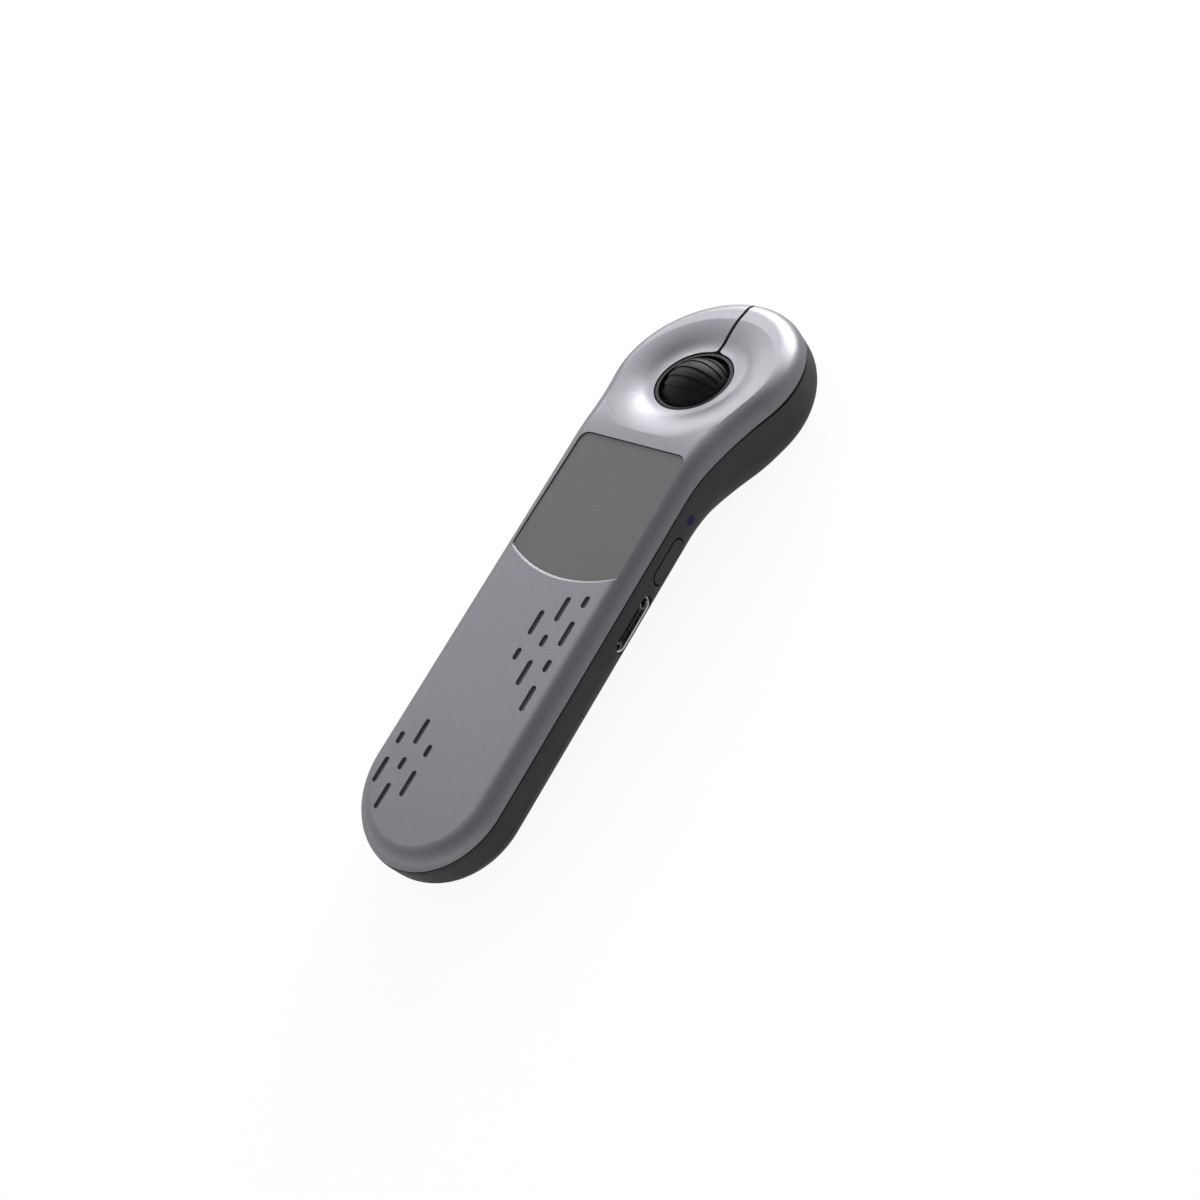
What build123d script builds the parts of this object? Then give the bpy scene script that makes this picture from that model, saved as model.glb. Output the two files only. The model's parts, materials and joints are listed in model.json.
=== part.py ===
from build123d import *
import math
import os

# Air mouse remote: a slim handle with a touch panel and a round dished head that carries two click keys
# and a scroll wheel. Lengths are in millimetres and angles in degrees.
# The design frame has X to the right, Y to the nose and Z up. Its origin is over the wheel's axle, on the
# plane of the handle's top. The finished part is tilted at the end, to lie on a table as the object does.

# Casing
handle_width = 33.0
handle_depth = 12.6
tail_reach = 108.2  # wheel axle to the end of the tail
head_diameter = 40.3
head_lead = 1.8  # centre of the head's outline, ahead of the wheel axle
neck_radius = 66.0
head_pitch = 12.5  # the head's top dips this much towards the nose
head_drop = 3.84  # the head's top under the handle's, at the wheel axle
head_depth = 16.4  # top to bottom of the head, at the wheel axle
bend_radius = 40.0
belly_rear = 26.0  # the underside starts to deepen this far behind the wheel axle
belly_front = 8.0
belly_radius = 25.0
top_round = 4.0
bottom_round = 6.2
wall = 1.6
seam_drop = 2.6  # lower edge of the cover under the handle's top
seam_line_height = 0.25  # shadow line under the cover's edge
seam_line_depth = 0.6
head_seam_drop = 3.6
key_gap_pitch = 1.5  # the gap under the keys opens at this angle
overrun = 2.0  # how far a cut runs past what it cuts
fit_gap = 0.1  # between pieces that seat in one another
slide_gap = 0.2  # round pieces that move
axle_gap = 0.03  # radial, round an axle or a pin

# Dish and wheel opening in the head
dish_rim = 2.35  # width of the head's edge round the dish
dish_lead = 0.6
dish_depth = 1.5
dish_turn_share = 0.75  # where the two arcs of its side meet, from the rim
dish_floor_margin = 0.4  # level floor round the opening
dish_tilt = 0.3  # the dish leans back with the neck's bend
opening_radius = 8.2
bezel_gap = 0.3
bezel_wall = 0.6
bezel_taper = 0.3  # the bezel is this much wider inside at its lower end
bezel_drop = 0.15  # upper edge under the dish's floor
bezel_height = 1.8
bezel_flange_reach = 2.3
bezel_flange_thick = 0.6

# Click keys
key_hinge_back = 2.0  # the keys bend at this distance behind the wheel axle
key_hinge_gap = 0.02
key_split = 0.75
key_flare = 0.9
key_post_radius = 1.5
key_switch_gap = 0.5  # between a key's switch and the wheel carrier
key_switch_ahead = 6.0
key_turn = 1.3

# Touch panel
panel_top_back = 18.7  # upper edge behind the wheel axle
panel_low_back = 44.9  # lower corners behind the wheel axle
panel_bow = 3.5
panel_top_width = 26.2
panel_low_width = 27.2
panel_top_corner = 2.0
panel_low_corner = 1.0
panel_sink = 0.35
panel_thick = 0.65
panel_lip = 0.5  # sloped lower edge of the recess
panel_lip_depth = 0.25
touch_board_thick = 0.6
touch_board_margin = 1.2
touch_board_front_margin = 6.0

# Slots over the speaker and the microphone, in staggered columns
slot_width = 1.15
slot_long = 5.2
slot_short = 2.5
slot_column = 3.84
slot_row = 6.7
slot_stagger_share = 0.4
slot_wall = 0.7  # cover's thickness at the slots
speaker_slot_x = 2.5
speaker_slot_back = 57.95
mic_slot_x = -11.5
mic_slot_back = 94.05
speaker_long_slots = ((1, 1), (0, 0), (2, 0), (1, -1), (2, -2))
speaker_short_slots = ((2, 1), (1, 0), (0, -1), (2, -1))
mic_long_slots = ((1, 1), (0, 0), (2, 0), (1, -1))
mic_short_slots = ((0, 1), (2, 1), (1, 0))
mesh_thick = 0.2
speaker_mesh_width = 11.6
speaker_mesh_length = 25.6
speaker_mesh_corner = 2.0
speaker_mesh_x = 6.3
speaker_mesh_back = 62.0
mic_mesh_width = 10.4
mic_mesh_length = 20.4
mic_mesh_corner = 5.0
mic_mesh_x = -7.2
mic_mesh_back = 91.4

# Side wall features, all on the right side
light_back = 27.9
light_drop = 6.1
light_radius = 0.85
light_flange_radius = 1.2
light_flange_thick = 0.8
button_back = 36.7
button_drop = 6.8
button_length = 9.4
button_height = 3.0
button_gap = 0.35
button_flange_margin = 0.55
button_flange_thick = 0.8
button_flange_room = 1.0  # flange face to the flat of the wall's inside
button_travel = 0.4
usb_back = 49.8
usb_drop = 7.75
usb_shell_length = 8.94
usb_shell_height = 3.26
usb_shell_depth = 6.7
usb_shell_wall = 0.3
usb_tongue_width = 6.7
usb_tongue_thick = 0.7
usb_tongue_recess = 1.2
usb_trim_length = 11.8
usb_trim_height = 3.4
usb_trim_gap = 0.15
usb_trim_wall = 0.4
usb_trim_depth = 0.9
usb_trim_recess = 0.95

# Boards and what they carry
board_thick = 0.8
main_board_drop = 4.8
main_board_width = 24.6
main_board_rear_back = 66.0
main_board_front_back = 24.0
board_corner = 2.0
board_post_radius = 1.5
board_post_margin = 2.6
motion_chip_size = 4.0
motion_chip_thick = 1.0
motion_chip_x = -5.0
motion_chip_back = 35.0
battery_width = 17.6
battery_length = 30.0
battery_thick = 4.4
battery_x = -1.2
battery_back = 45.5
battery_corner = 1.2
speaker_width = 11.0
speaker_length = 15.0
speaker_thick = 3.4
speaker_cone_width = 8.0
speaker_cone_length = 12.0
speaker_cone_sink = 0.5
speaker_rear_margin = 0.4
mic_radius = 2.2
switch_size = 4.4
side_switch_depth = 2.8
side_switch_height = 2.8
side_switch_room = 1.0  # switch face to the button's flange
plunger_radius = 1.3
side_plunger_radius = 0.8
plunger_room = 0.25

# Head board, wheel and wheel carrier, measured in the head's own pitched frame
head_board_drop = 11.2
head_board_gap = 2.05  # board's edge to the inside of the head's wall
head_board_lead = 3.5
head_board_margin = 1.0  # ahead of the wheel's switch
head_board_rear = 8.6
head_board_hole_gap = 2.2  # beside the wheel's ends
head_board_hole_trim = 0.1  # hole's ends inside the wheel's reach
head_post_x = 12.6
head_post_rear = 5.0
head_post_front = 9.0
key_switch_height = 3.5
key_plunger_top_drop = 4.9
plunger_sunk = 0.4
wheel_gap = 0.3  # wheel's radius to the outside of the bezel
wheel_end_cut = 1.1  # each end of the ball is cut flat
wheel_axle_drop = 5.9
wheel_ribs = 20
wheel_rib_depth = 0.2
wheel_rib_margin = 0.5  # plain edge at each end of the ball
wheel_groove_share = 0.4
hub_radius = 2.8
hub_flange = 0.3
axle_radius = 0.9
axle_end = 0.4
arm_gap = 0.5
arm_thick = 1.2
arm_height = 5.0
arm_middle_drop = 7.2
pivot_back = 11.5
pivot_radius = 0.75
pivot_post_gap = 0.7
pivot_post_thick = 1.4
pivot_post_height = 1.5
pivot_post_length = 4.0
arm_front_ahead = 9.8
bar_thick = 1.4
bar_height = 1.2
rear_bar_back = 9.6
wheel_switch_height = 1.6
wheel_switch_size = 4.0
wheel_plunger_radius = 1.0
wheel_press = 2.0
encoder_length = 5.6
encoder_height = 5.0
encoder_rise = 1.5
encoder_thick = 3.4

# Laser in the nose
laser_radius = 2.2
laser_length = 7.0
laser_room = 0.3  # barrel's end to the inside of the nose
laser_under_seam = 2.3
laser_window_radius = 1.4
laser_aperture_radius = 0.7
laser_aperture_depth = 1.5
saddle_width = 6.4
saddle_thick = 1.3
saddle_back = 4.4  # saddle's middle behind the inside of the nose

# Tail door, receiver bay and receiver
door_back = 68.6  # front edge of the door behind the wheel axle
door_drop = 7.4  # upper edge of the door under the handle's top
door_wall = 1.4
door_gap = 0.15
tail_floor_thick = 1.2
tail_rim_thick = 0.9
tail_rim_height = 1.5
bay_wall = 1.0
receiver_rear_margin = 4.8  # receiver's end from the end of the tail
receiver_body_width = 13.1
receiver_body_length = 8.6
receiver_body_thick = 5.6
receiver_body_round = 0.7
usb_a_width = 12.0
usb_a_length = 12.0
usb_a_thick = 4.5
usb_a_wall = 0.35
usb_a_round = 0.4
usb_a_window = 2.0
usb_a_window_x = 2.6
usb_a_window_ahead = 6.6
usb_a_tongue_thick = 1.9
usb_a_tongue_recess = 0.6
usb_c_width = 8.25
usb_c_thick = 2.4
usb_c_length = 6.65
usb_c_wall = 0.3
magnet_radius = 3.0
magnet_thick = 1.0
magnet_x = 3.4
magnet_ahead = 4.0

# Case screws: two in the neck, two under the tail door
neck_screw_x = 11.4
neck_screw_back = 20.6
tail_screw_x = 11.2
tail_screw_back = 78.4
boss_radius = 2.2
boss_meet_drop = 6.2
screw_radius = 0.9
screw_head_radius = 1.8
screw_head_height = 1.1
screw_bite = 2.6
screw_recess = 3.2  # neck screw heads above the underside

# Worked out from the sizes above
quarter_turn = 90
pitch = math.radians(head_pitch)
half_width = handle_width / 2
head_radius = head_diameter / 2
dish_radius = head_radius - dish_rim
dish_floor_radius = opening_radius + dish_floor_margin
tail_y = half_width - tail_reach
nose_y = head_lead + head_radius
span = tail_reach + head_diameter
tip = head_diameter
tall = head_drop + head_depth + handle_depth + tip
neck_y = head_lead - math.sqrt((head_radius + neck_radius) ** 2 - (half_width + neck_radius) ** 2)
tail_arc_y = bottom_round - tail_reach
belly_low = head_drop + head_depth
rest_rise = belly_low - handle_depth + bottom_round
rest_reach = math.hypot(tail_arc_y, rest_rise)
rest_tilt = math.acos(bottom_round / rest_reach) - math.atan2(-tail_arc_y, rest_rise)
seam_nose_drop = head_drop + head_seam_drop / math.cos(pitch)
inside_x = half_width - wall
floor_z = wall - handle_depth
main_board_top = -main_board_drop
main_board_under = main_board_top - board_thick
head_board_under = -head_board_drop - board_thick
speaker_mesh_size = (
    speaker_mesh_width,
    speaker_mesh_length,
    speaker_mesh_corner,
    speaker_mesh_x,
    speaker_mesh_back,
)
mic_mesh_size = (mic_mesh_width, mic_mesh_length, mic_mesh_corner, mic_mesh_x, mic_mesh_back)
bezel_radius = opening_radius - bezel_gap
wheel_radius = bezel_radius - wheel_gap
wheel_length = 2 * (wheel_radius - wheel_end_cut)
head_board_radius = head_radius - wall - head_board_gap
head_board_front = arm_front_ahead + wheel_switch_size / 2 + head_board_margin
head_board_hole_width = wheel_length + 2 * head_board_hole_gap
head_board_hole_length = 2 * (wheel_radius - head_board_hole_trim)
key_dip = (key_switch_ahead + key_hinge_back) * math.tan(math.radians(key_turn))
wheel_dip = (arm_front_ahead + pivot_back) * math.tan(math.radians(wheel_press))
bar_bottom_drop = head_board_drop - wheel_switch_height - wheel_dip - plunger_room
arm_x = wheel_length / 2 + arm_gap
pivot_drop = arm_middle_drop
post_x = arm_x + arm_thick + pivot_post_gap
key_switch_x = arm_x + arm_thick + key_switch_gap + switch_size / 2
usb_mouth_x = half_width - usb_trim_recess - usb_trim_depth - fit_gap
usb_rear_x = usb_mouth_x - usb_shell_depth
side_switch_x = inside_x - button_flange_room - button_flange_thick - side_switch_room
door_under = -door_drop
tail_floor_top = door_under + tail_floor_thick
receiver_z = door_wall + slide_gap + receiver_body_thick / 2 - handle_depth
receiver_rear_y = receiver_rear_margin - tail_reach
receiver_body_y = receiver_rear_y + usb_c_length
usb_a_y = receiver_body_y + receiver_body_length
receiver_front_y = usb_a_y + usb_a_length
bay_ceiling = receiver_z + receiver_body_thick / 2 + slide_gap
bay_top = bay_ceiling + bay_wall
nose_inside_y = nose_y - wall
laser_z = -seam_nose_drop - nose_y * math.tan(pitch) - laser_under_seam

head_frame = Plane(
    origin=(0, 0, -head_drop),
    x_dir=(1, 0, 0),
    z_dir=(0, math.sin(pitch), math.cos(pitch)),
).location


def outline(inset):
    """Plan of the casing: round tail, straight handle, hollow neck and round head."""
    side = half_width - inset
    reach = head_radius + neck_radius
    turn = math.asin((head_lead - neck_y) / reach)
    centre_x = half_width + neck_radius
    bend = neck_radius + inset
    join = (centre_x - bend * math.cos(turn), neck_y + bend * math.sin(turn))
    middle = (centre_x - bend * math.cos(turn / 2), neck_y + bend * math.sin(turn / 2))
    right = Line((side, tail_y), (side, neck_y))
    neck = ThreePointArc((side, neck_y), middle, join)
    head = ThreePointArc(join, (0, nose_y - inset), (-join[0], join[1]))
    left_neck = ThreePointArc((-join[0], join[1]), (-middle[0], middle[1]), (-side, neck_y))
    left = Line((-side, neck_y), (-side, tail_y))
    tail = ThreePointArc((-side, tail_y), (0, tail_y - side), (side, tail_y))
    return make_face([right, neck, head, left_neck, left, tail])


def crown(drop, nose_drop, angle, radius):
    """Side curve that runs level over the handle and bends down over the head."""
    slope = math.tan(angle)
    apex = (drop - nose_drop) / slope
    return FilletPolyline((-span, -drop), (apex, -drop), (tip, -nose_drop - tip * slope), radius=radius)


def belly(inset):
    """Side curve of the underside, deeper under the head, moved in by the inset."""
    slope = math.tan(rest_tilt)
    rear = (-belly_rear, -handle_depth)
    front = (-belly_front, belly_front * slope - belly_low)
    ramp = math.atan2(rear[1] - front[1], front[0] - rear[0])
    rear_in = (rear[0] + inset * math.tan(ramp / 2), rear[1] + inset)
    lean = (math.sin(ramp) + math.sin(rest_tilt), math.cos(ramp) + math.cos(rest_tilt))
    shift = inset / (1 + math.cos(ramp - rest_tilt))
    front_in = (front[0] + shift * lean[0], front[1] + shift * lean[1])
    end = (tip, inset / math.cos(rest_tilt) - belly_low - tip * slope)
    radii = [belly_radius + inset, belly_radius - inset]
    return FilletPolyline((-span, inset - handle_depth), rear_in, front_in, end, radius=radii)


def slab(upper, lower):
    """Solid between two side curves, wider than the part."""
    ends = [Line(upper @ 1, lower @ 1), Line(lower @ 0, upper @ 0)]
    face = make_face([*upper.edges(), *lower.edges(), *ends])
    return extrude(Plane.YZ * face, amount=handle_width, both=True)


def border_edges(solid, way):
    """Edges round the upper (way 1) or lower (way -1) faces of a solid."""
    steep_share = 0.5
    faces = [face for face in solid.faces() if way * face.normal_at().Z > steep_share]
    edges = [edge for face in faces for edge in face.edges()]
    return [edge for edge in edges if sum(edge.is_same(other) for other in edges) == 1]


def hull(inset):
    """Whole casing as one solid with a rounded underside, moved in by the inset."""
    upper = crown(inset, head_drop + inset / math.cos(pitch), pitch, bend_radius - inset)
    solid = extrude(outline(inset), amount=tall, both=True) & slab(upper, belly(inset))
    return fillet(border_edges(solid, -1), bottom_round - inset)


def form(inset):
    """The same solid with its upper border rounded too."""
    solid = hull(inset)
    return fillet(border_edges(solid, 1), top_round - inset)


def block(x0, x1, y0, y1, z0, z1):
    """Box between two corners."""
    centre = ((x0 + x1) / 2, (y0 + y1) / 2, (z0 + z1) / 2)
    return Pos(*centre) * Box(abs(x1 - x0), abs(y1 - y0), abs(z1 - z0))


def upright(x, y, radius, z0, z1):
    """Round post between two heights."""
    return Pos(x, y, (z0 + z1) / 2) * Cylinder(radius, abs(z1 - z0))


def crossways(radius, x0, x1, y, z):
    """Round rod along X."""
    return Pos((x0 + x1) / 2, y, z) * Rot(0, quarter_turn, 0) * Cylinder(radius, abs(x1 - x0))


def lengthways(radius, y0, y1, x, z):
    """Round rod along Y."""
    return Pos(x, (y0 + y1) / 2, z) * Rot(quarter_turn, 0, 0) * Cylinder(radius, abs(y1 - y0))


def side_pill(length, height, back, drop, x0, x1):
    """Pill-shaped block in the right side wall, its length along Y."""
    plane = Plane.YZ.offset(x0)
    return extrude(plane * Pos(-back, -drop) * SlotOverall(length, height), amount=x1 - x0)


def plate(width, length, corner, x, y, z0, z1):
    """Flat plate with rounded corners."""
    return Pos(x, y, z0) * extrude(RectangleRounded(width, length, corner), amount=z1 - z0)


def bowl():
    """Space of the dish in the head's frame: two arcs fall softly from its rim to its level floor."""
    rim, floor = (dish_radius, 0), (dish_floor_radius, -dish_depth)
    turn_radius = dish_radius - (dish_radius - dish_floor_radius) * dish_turn_share
    middle = (turn_radius, -dish_depth * dish_turn_share)
    edges = [
        TangentArc(rim, middle, tangent=(-1, 0)),
        TangentArc(floor, middle, tangent=(1, 0)),
        Polyline(floor, (0, -dish_depth), (0, overrun), (dish_radius, overrun), rim),
    ]
    space = revolve(Plane.XZ * make_face(edges), Axis.Z)
    return Pos(0, dish_lead) * Rot(dish_tilt, 0, 0) * space


def panel_face():
    """Outline of the touch panel's recess, with a bowed lower edge."""
    top, low = panel_top_width / 2, panel_low_width / 2
    upper, lower = -panel_top_back, -panel_low_back
    edges = [
        Line((-top, upper), (top, upper)),
        Line((top, upper), (low, lower)),
        ThreePointArc((low, lower), (0, lower - panel_bow), (-low, lower)),
        Line((-low, lower), (-top, upper)),
    ]
    corners = make_face(edges)
    corners = fillet(corners.vertices().sort_by(Axis.Y)[-2:], panel_top_corner)
    return fillet(corners.vertices().sort_by(Axis.Y)[:2], panel_low_corner)


def lip_cut():
    """Slope along the bowed lower edge of the panel's recess."""
    low = panel_low_width / 2
    radius = (low**2 + panel_bow**2) / (2 * panel_bow)
    cone = Cone(radius, radius + 2 * panel_lip, 2 * panel_lip_depth)
    zone = block(-low, low, -span, -panel_low_back, -tall, tall)
    return Pos(0, radius - panel_low_back - panel_bow) * cone & zone


def mesh_plate(width, length, corner, x, back, gap, z0, z1):
    """Outline of a dust mesh, grown by a gap, between two heights."""
    return plate(width + 2 * gap, length + 2 * gap, corner + gap, x, -back, z0, z1)


def slots(x, back, long_places, short_places, stagger):
    """Staggered columns of long and short slots, cut through the cover's top."""
    cuts = []
    for places, length in ((long_places, slot_long), (short_places, slot_short)):
        for column, row in places:
            shift = stagger * slot_row * slot_stagger_share if column % 2 else 0
            centre = Pos(x + column * slot_column, row * slot_row + shift - back, -wall - overrun)
            face = Rot(0, 0, quarter_turn) * SlotOverall(length, slot_width)
            cuts.append(centre * extrude(face, amount=wall + 2 * overrun))
    return cuts


def split_cut():
    """Split between the keys, with its corners rounded at the opening and at the nose."""
    inner, outer = opening_radius, (nose_y + head_drop * math.sin(pitch)) / math.cos(pitch)
    line = Pos(0, (inner + outer) / 2) * Rectangle(key_split, outer - inner + 2 * key_flare)
    for end in (inner, outer):
        flare = Pos(0, end) * Rectangle(key_split + 2 * key_flare, 2 * key_flare)
        way = key_flare if end == inner else -key_flare
        for side in (-1, 1):
            flare -= Pos(side * (key_split / 2 + key_flare), end + way) * Circle(key_flare)
        line += flare
    return Pos(0, 0, -tall) * extrude(line, amount=2 * tall)


body_form = form(0)
cavity = form(wall)
seam_line = crown(seam_drop, seam_nose_drop, pitch, bend_radius)
seam_apex = (seam_drop - seam_nose_drop) / math.tan(pitch)
gap_angle = pitch + math.radians(key_gap_pitch)
base_line = crown(seam_drop, seam_drop - seam_apex * math.tan(gap_angle), gap_angle, bend_radius)
above_seam = slab(Line((-span, tall), (tip, tall)), seam_line)
below_rim = slab(base_line, Line((-span, -tall), (tip, -tall)))
dish = bowl()
neck_screws = [(side * neck_screw_x, -neck_screw_back) for side in (-1, 1)]
tail_screws = [(side * tail_screw_x, -tail_screw_back) for side in (-1, 1)]


def cover_shell():
    """Upper shell with the dish and the wheel opening, before the keys are parted from it."""
    hollow = cavity - head_frame * Pos(0, 0, -wall) * dish
    shell = (body_form & above_seam) - hollow - head_frame * dish
    opening = upright(0, 0, opening_radius, -dish_depth - wall - overrun, overrun)
    return shell - head_frame * opening


def wheel_bezel():
    """Collar inside the opening, with a flange under the fixed rear of the dish."""
    top = -dish_depth - bezel_drop
    inner = bezel_radius - bezel_wall
    corners = [
        (inner, top),
        (bezel_radius, top),
        (bezel_radius, top - bezel_height),
        (inner + bezel_taper, top - bezel_height),
    ]
    collar = revolve(Plane.XZ * make_face(Polyline(*corners, close=True)), Axis.Z)
    flange_top = -dish_depth - wall - fit_gap
    flange_low = flange_top - bezel_flange_thick
    flange = upright(0, 0, bezel_radius + bezel_flange_reach, flange_low, flange_top)
    flange -= upright(0, 0, inner + bezel_taper, flange_low, flange_top)
    flange &= block(-span, span, -span, -key_hinge_back - bezel_gap, -tall, tall)
    return head_frame * (collar + flange)


def key_zone(x0, x1, gap):
    """Space of the keys in the head's frame, ahead of the line where they bend."""
    return head_frame * block(x0, x1, -key_hinge_back - gap, span, -tall, tall)


def key(shell, side):
    """One click key: half of the head's front, with the post that presses its switch."""
    zone = key_zone(0, side * span, 0)
    low, high = -key_plunger_top_drop, -dish_depth
    post = upright(side * key_switch_x, key_switch_ahead, key_post_radius, low, high)
    cap = (shell & zone) - head_frame * split_cut()
    return cap + head_frame * post


def top_cover(shell):
    """Handle and rear of the head, with the panel's recess, the slots and the screw bosses."""
    cover = shell - key_zone(-span, span, key_hinge_gap)
    for x, y in neck_screws + tail_screws:
        cover += upright(x, y, boss_radius, -boss_meet_drop, -wall)
    cover -= Pos(0, 0, -panel_sink - panel_thick) * extrude(panel_face(), amount=panel_sink + panel_thick)
    cover -= lip_cut()
    for mesh in (speaker_mesh_size, mic_mesh_size):
        cover -= mesh_plate(*mesh, fit_gap, -wall - overrun, -slot_wall)
    cover -= slots(speaker_slot_x, speaker_slot_back, speaker_long_slots, speaker_short_slots, -1)
    cover -= slots(mic_slot_x, mic_slot_back, mic_long_slots, mic_short_slots, 1)
    pilot_top = screw_bite - boss_meet_drop
    for x, y in neck_screws + tail_screws:
        cover -= upright(x, y, screw_radius + axle_gap, -boss_meet_drop, pilot_top)
    return cover


def touch_panel():
    """Flat panel, a little sunk in the cover."""
    return Pos(0, 0, -panel_sink - panel_thick) * extrude(offset(panel_face(), -fit_gap), amount=panel_thick)


def touch_board():
    """Sensing board glued under the floor of the panel's recess."""
    width = panel_top_width - 2 * touch_board_margin
    rear = -panel_low_back
    front = -panel_top_back - touch_board_front_margin
    middle = (rear + front) / 2
    return plate(width, front - rear, board_corner, 0, middle, -wall - touch_board_thick, -wall)


def boss_tubes():
    """Screw tubes of the base: the neck's stand on the floor, the tail's on the floor over the door."""
    tubes = [upright(x, y, boss_radius, -tall, -boss_meet_drop) for x, y in neck_screws]
    return [tube & body_form for tube in tubes]


def board_posts():
    """Posts under the main board and the head board."""
    x = main_board_width / 2 - board_post_margin
    posts = []
    for side in (-1, 1):
        for back in (main_board_rear_back - board_post_margin, main_board_front_back + board_post_margin):
            posts.append(upright(side * x, -back, board_post_radius, -tall, main_board_under))
        for ahead in (-head_post_rear, head_post_front):
            post = upright(side * head_post_x, ahead, board_post_radius, -tall, head_board_under)
            posts.append(head_frame * post)
    return [post & body_form for post in posts]


def pivot_posts():
    """Ears that hold the wheel carrier's pin."""
    ears = []
    for side in (-1, 1):
        x0, x1 = side * post_x, side * (post_x + pivot_post_thick)
        half = pivot_post_length / 2
        top = pivot_post_height - pivot_drop
        ear = block(x0, x1, -pivot_back - half, half - pivot_back, -tall, top)
        ears.append(head_frame * ear & body_form)
    return ears


def tail_tray():
    """Floor over the door with the receiver's bay, its rim, and the wall at the door's front edge."""
    rear = block(-span, span, -span, wall - door_back, -tall, tall)
    inner = extrude(outline(wall), amount=tall, both=True) & rear
    floor = inner & block(-span, span, -span, 0, door_under, tail_floor_top)
    bay_x = receiver_body_width / 2 + slide_gap + bay_wall
    bay_front = receiver_front_y + slide_gap + bay_wall
    bay_box = inner & block(-bay_x, bay_x, -span, bay_front, door_under, bay_top)
    front_wall = block(-span, span, -door_back, wall - door_back, -tall, tail_floor_top) & body_form
    ring_inset = door_wall + slide_gap
    ring = hull(ring_inset) - hull(ring_inset + tail_rim_thick)
    ring &= block(-span, span, -span, -door_back, door_under - tail_rim_height, door_under)
    return floor + bay_box + front_wall + ring


def bay_space():
    """Space for the receiver, open downwards."""
    x = receiver_body_width / 2 + slide_gap
    return block(-x, x, receiver_rear_y - slide_gap, receiver_front_y + slide_gap, -tall, bay_ceiling)


def base_shell():
    """Lower shell: side walls, floor, posts, the receiver's bay and the holes in the right side."""
    shell = (body_form & below_rim) - cavity
    shell -= seam_groove()
    shell -= block(-span, span, -span, -door_back, -tall, door_under)
    for piece in [*boss_tubes(), *board_posts(), *pivot_posts(), tail_tray(), saddle()]:
        shell += piece
    shell -= bay_space()
    pin_z = -pivot_drop
    shell -= head_frame * crossways(pivot_radius + axle_gap, -span, span, -pivot_back, pin_z) & cavity
    for x, y in neck_screws:
        under = ramp_height(-y) + screw_recess
        shell -= upright(x, y, screw_head_radius + fit_gap, -tall, under)
        shell -= upright(x, y, screw_radius + fit_gap, -tall, 0)
    for x, y in tail_screws:
        shell -= upright(x, y, screw_radius + fit_gap, -tall, 0)
    far = half_width + overrun
    grown = 2 * button_gap
    shell -= crossways(light_radius + fit_gap, 0, far, -light_back, -light_drop)
    length, height = button_length + grown, button_height + grown
    shell -= side_pill(length, height, button_back, button_drop, inside_x - overrun, far)
    length, height = usb_trim_length + 2 * usb_trim_gap, usb_trim_height + 2 * usb_trim_gap
    shell -= side_pill(length, height, usb_back, usb_drop, inside_x - overrun, far)
    shell -= lengthways(laser_window_radius + fit_gap, nose_inside_y - overrun, nose_y + overrun, 0, laser_z)
    return shell


def seam_groove():
    """Shadow line round the handle and neck, under the cover's edge."""
    low_drop = seam_drop + seam_line_height
    low_nose = seam_nose_drop + seam_line_height
    band = slab(seam_line, crown(low_drop, low_nose, pitch, bend_radius))
    band &= head_frame * block(-span, span, -span, -key_hinge_back, -tall, tall)
    return band - hull(seam_line_depth)


def ramp_height(back):
    """Height of the sloped underside of the neck, at a distance behind the wheel axle."""
    front_low = belly_low - belly_front * math.tan(rest_tilt)
    way_share = (belly_rear - back) / (belly_rear - belly_front)
    return -handle_depth - (front_low - handle_depth) * way_share


def saddle():
    """Rib with a round seat that carries the laser barrel."""
    y = nose_inside_y - saddle_back
    half, thick = saddle_width / 2, saddle_thick / 2
    rib = block(-half, half, y - thick, y + thick, -tall, laser_z)
    return (rib & body_form) - lengthways(laser_radius + fit_gap, 0, nose_inside_y, 0, laser_z)


def tail_door():
    """Lid round the underside of the tail."""
    zone = block(-span, span, -span, -door_back - door_gap, -tall, door_under - door_gap)
    return (body_form & zone) - hull(door_wall)


def status_light():
    """Clear rod in the side wall, with a flange inside."""
    outer = inside_x - fit_gap
    inner = outer - light_flange_thick
    rod = crossways(light_radius, inner, half_width, -light_back, -light_drop)
    return rod + crossways(light_flange_radius, inner, outer, -light_back, -light_drop)


def side_button():
    """Pill-shaped cap, level with the wall, with a flange that keeps it there."""
    flange_x = inside_x - button_flange_room
    cap = side_pill(button_length, button_height, button_back, button_drop, flange_x, half_width)
    length = button_length + 2 * button_flange_margin
    height = button_height + 2 * button_flange_margin
    inner = flange_x - button_flange_thick
    return cap + side_pill(length, height, button_back, button_drop, inner, flange_x)


def side_plunger():
    """Plunger between the button's flange and its switch."""
    end = side_switch_x - plunger_sunk
    start = side_switch_x + side_switch_room
    return crossways(side_plunger_radius, end, start, -button_back, -button_drop)


def side_switch():
    """Switch under the main board, facing the side button."""
    half = switch_size / 2
    y0, y1 = -button_back - half, half - button_back
    x0 = side_switch_x - side_switch_depth
    body = block(x0, side_switch_x, y0, y1, main_board_under - side_switch_height, main_board_under)
    bore_end = side_switch_x - plunger_sunk - button_travel - plunger_room
    bore_radius = side_plunger_radius + slide_gap
    return body - crossways(bore_radius, bore_end, side_switch_x, -button_back, -button_drop)


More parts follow.
